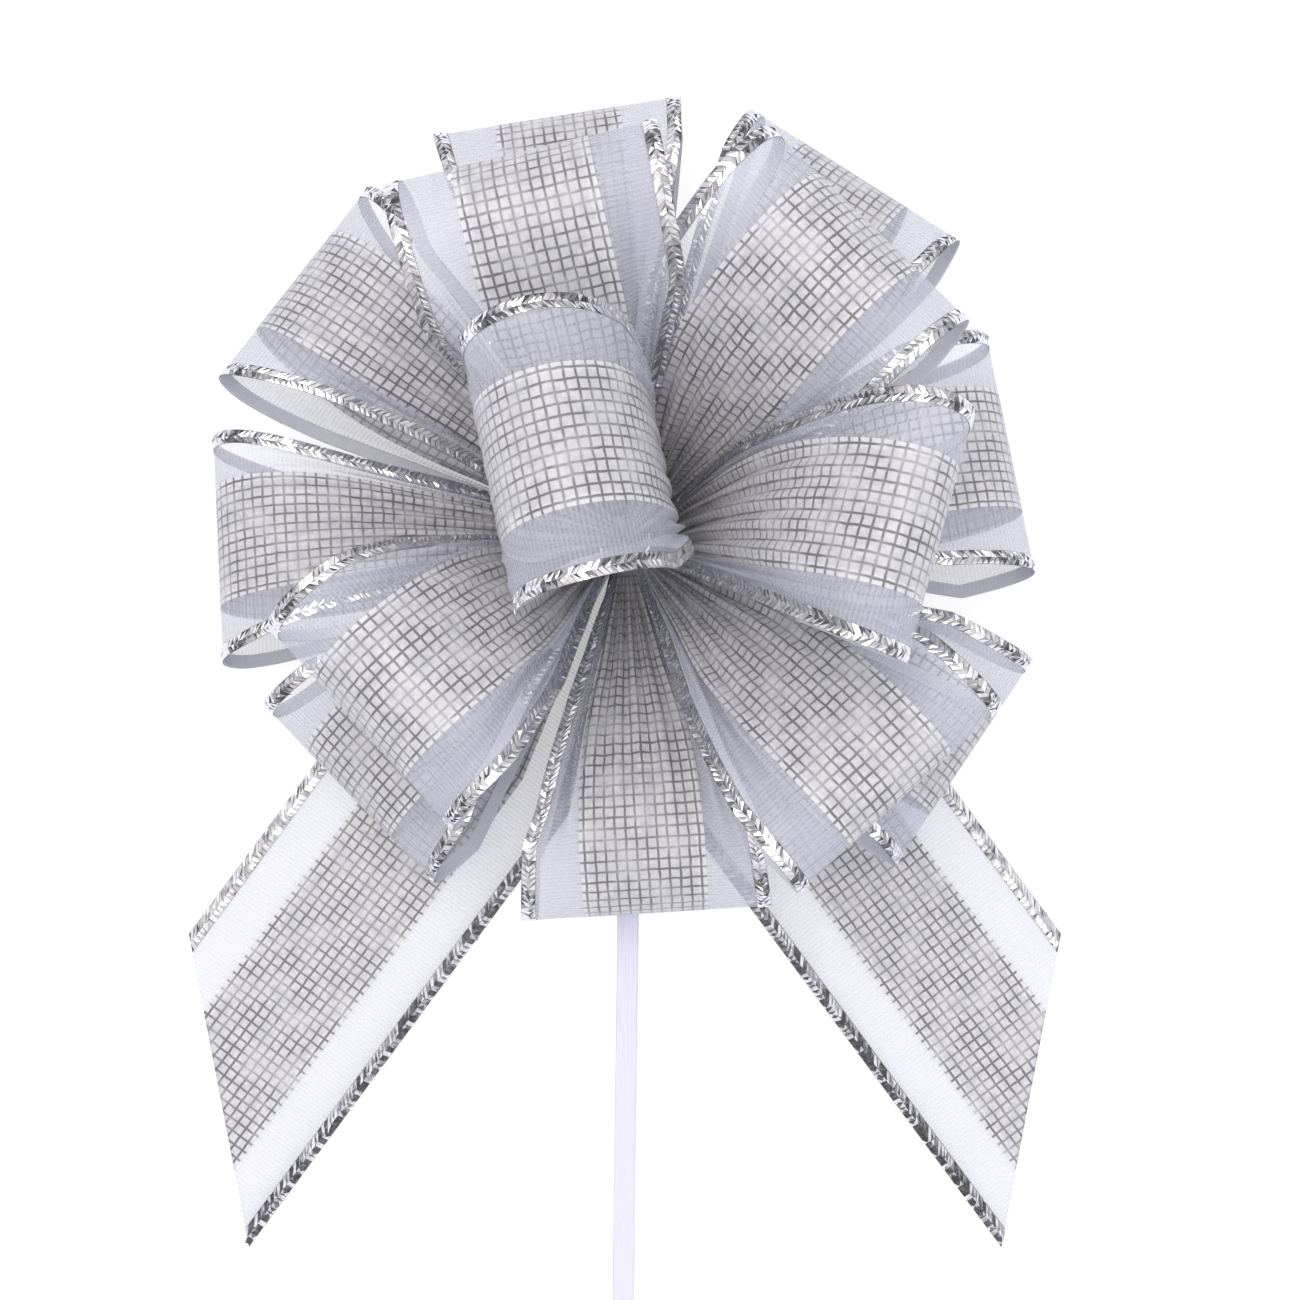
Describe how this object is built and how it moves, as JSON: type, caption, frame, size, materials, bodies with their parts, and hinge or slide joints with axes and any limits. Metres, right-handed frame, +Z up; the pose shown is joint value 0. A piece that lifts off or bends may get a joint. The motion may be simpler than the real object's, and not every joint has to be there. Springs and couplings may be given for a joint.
{
  "type": "gift bow",
  "caption": "Pull bow of wide sheer-edged plaid ribbon: upright and spread loops gathered on a flat pull string, with two cut tails.",
  "frame": {"origin": "centre of the underside of the lowest waist, on the surface that the bow rests on", "axes": "+Z up out of the bow's face, along the stack of waists; -Y the way the pull string leaves, between the two tails; +X to the right with the string pointing down"},
  "size_m": [0.1854, 0.3132, 0.0917],
  "materials": {
    "ribbon": "plaid satin band, sheer sides and metallic silver edges",
    "ribbon_tail": "the same ribbon lying flat",
    "waist": "gathered and welded ribbon",
    "string": "flat woven polypropylene, matt white"
  },
  "bodies": {
    "core": {"waist_1": "waist", "waist_2": "waist", "waist_3": "waist", "waist_4": "waist", "waist_5": "waist", "waist_6": "waist", "waist_7": "waist", "waist_8": "waist", "string_core": "string", "pull_string": "string", "string_coil": "string"},
    "loop_1_front": {"loop_1_front": "ribbon"},
    "loop_1_back": {"loop_1_back": "ribbon"},
    "loop_2_front": {"loop_2_front": "ribbon"},
    "loop_2_back": {"loop_2_back": "ribbon"},
    "loop_3_front": {"loop_3_front": "ribbon"},
    "loop_3_back": {"loop_3_back": "ribbon"},
    "loop_4_front": {"loop_4_front": "ribbon"},
    "loop_4_back": {"loop_4_back": "ribbon"},
    "loop_5_front": {"loop_5_front": "ribbon"},
    "loop_5_back": {"loop_5_back": "ribbon"},
    "loop_6_front": {"loop_6_front": "ribbon"},
    "loop_6_back": {"loop_6_back": "ribbon"},
    "loop_7_front": {"loop_7_front": "ribbon"},
    "loop_7_back": {"loop_7_back": "ribbon"},
    "tail_front": {"tail_front": "ribbon_tail"},
    "tail_back": {"tail_back": "ribbon_tail"}
  },
  "joints": [
    {"name": "loop_1_front_swivel", "type": "hinge", "parent": "core", "child": "loop_1_front", "pos_m": [0, 0, 0], "axis": [0, 0, 1], "range_deg": [-2, 2]},
    {"name": "loop_1_back_swivel", "type": "hinge", "parent": "core", "child": "loop_1_back", "pos_m": [0, 0, 0], "axis": [0, 0, 1], "range_deg": [-2, 2]},
    {"name": "loop_2_front_swivel", "type": "hinge", "parent": "core", "child": "loop_2_front", "pos_m": [0, 0, 0], "axis": [0, 0, 1], "range_deg": [-2, 2]},
    {"name": "loop_2_back_swivel", "type": "hinge", "parent": "core", "child": "loop_2_back", "pos_m": [0, 0, 0], "axis": [0, 0, 1], "range_deg": [-2, 2]},
    {"name": "loop_3_front_swivel", "type": "hinge", "parent": "core", "child": "loop_3_front", "pos_m": [0, 0, 0], "axis": [0, 0, 1], "range_deg": [-2, 2]},
    {"name": "loop_3_back_swivel", "type": "hinge", "parent": "core", "child": "loop_3_back", "pos_m": [0, 0, 0], "axis": [0, 0, 1], "range_deg": [-2, 2]},
    {"name": "loop_4_front_swivel", "type": "hinge", "parent": "core", "child": "loop_4_front", "pos_m": [0, 0, 0], "axis": [0, 0, 1], "range_deg": [-2, 2]},
    {"name": "loop_4_back_swivel", "type": "hinge", "parent": "core", "child": "loop_4_back", "pos_m": [0, 0, 0], "axis": [0, 0, 1], "range_deg": [-2, 2]},
    {"name": "loop_5_front_swivel", "type": "hinge", "parent": "core", "child": "loop_5_front", "pos_m": [0, 0, 0], "axis": [0, 0, 1], "range_deg": [-3, 3]},
    {"name": "loop_5_back_swivel", "type": "hinge", "parent": "core", "child": "loop_5_back", "pos_m": [0, 0, 0], "axis": [0, 0, 1], "range_deg": [-3, 3]},
    {"name": "loop_6_front_swivel", "type": "hinge", "parent": "core", "child": "loop_6_front", "pos_m": [0, 0, 0], "axis": [0, 0, 1], "range_deg": [-4, 1]},
    {"name": "loop_6_back_swivel", "type": "hinge", "parent": "core", "child": "loop_6_back", "pos_m": [0, 0, 0], "axis": [0, 0, 1], "range_deg": [-3, 3]},
    {"name": "loop_7_front_swivel", "type": "hinge", "parent": "core", "child": "loop_7_front", "pos_m": [0, 0, 0], "axis": [0, 0, 1], "range_deg": [-1, 4]},
    {"name": "loop_7_back_swivel", "type": "hinge", "parent": "core", "child": "loop_7_back", "pos_m": [0, 0, 0], "axis": [0, 0, 1], "range_deg": [-8, 8]},
    {"name": "tail_front_swivel", "type": "hinge", "parent": "core", "child": "tail_front", "pos_m": [0, 0, 0], "axis": [0, 0, 1], "range_deg": [-4, 4]},
    {"name": "tail_back_swivel", "type": "hinge", "parent": "core", "child": "tail_back", "pos_m": [0, 0, 0], "axis": [0, 0, 1], "range_deg": [-4, 4]}
  ]
}
